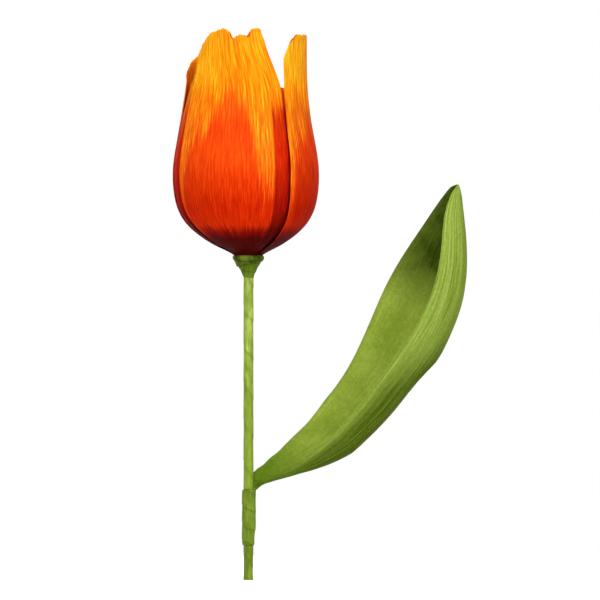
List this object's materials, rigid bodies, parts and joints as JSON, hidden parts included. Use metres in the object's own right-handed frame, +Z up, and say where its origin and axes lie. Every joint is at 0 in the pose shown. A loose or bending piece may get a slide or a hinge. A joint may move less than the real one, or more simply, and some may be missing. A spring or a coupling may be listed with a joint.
{
  "type": "artificial tulip",
  "caption": "Handmade tulip of thin dyed husk sheets: six petals tied round a tape-wrapped stick, with one folded leaf on a wire that bends by hand.",
  "frame": {"origin": "centre of the stem's square-cut lower end", "axes": "+Z up along the stem, +X towards the side where the leaf grows, -Y towards the front petal"},
  "size_m": [0.0947, 0.0475, 0.1765],
  "materials": {
    "stick": "matte",
    "stem_tape": "matte",
    "lower_tape": "matte",
    "thread": "matte",
    "petal_husk": "satin",
    "leaf_husk": "satin",
    "leaf_wire": "satin"
  },
  "bodies": {
    "stem": {"stem_stick": "stick", "stem_tape": "stem_tape", "foot_tape": "lower_tape", "joint_tape": "lower_tape", "neck_tape": "stem_tape", "calyx_tape": "lower_tape", "petal_binding": "thread", "petal_front": "petal_husk", "petal_right": "petal_husk", "petal_left": "petal_husk", "petal_inner_left": "petal_husk", "petal_inner_right": "petal_husk", "petal_inner_back": "petal_husk", "leaf_wire_tail": "leaf_wire", "leaf_husk_tail": "leaf_husk"},
    "leaf": {"leaf_blade": "leaf_husk", "leaf_wire": "leaf_wire"}
  },
  "joints": [
    {"name": "leaf_bend", "type": "hinge", "parent": "stem", "child": "leaf", "pos_m": [0.00183, 0, 0.0307], "axis": [0, 1, 0], "range_deg": [-15, 35]}
  ]
}
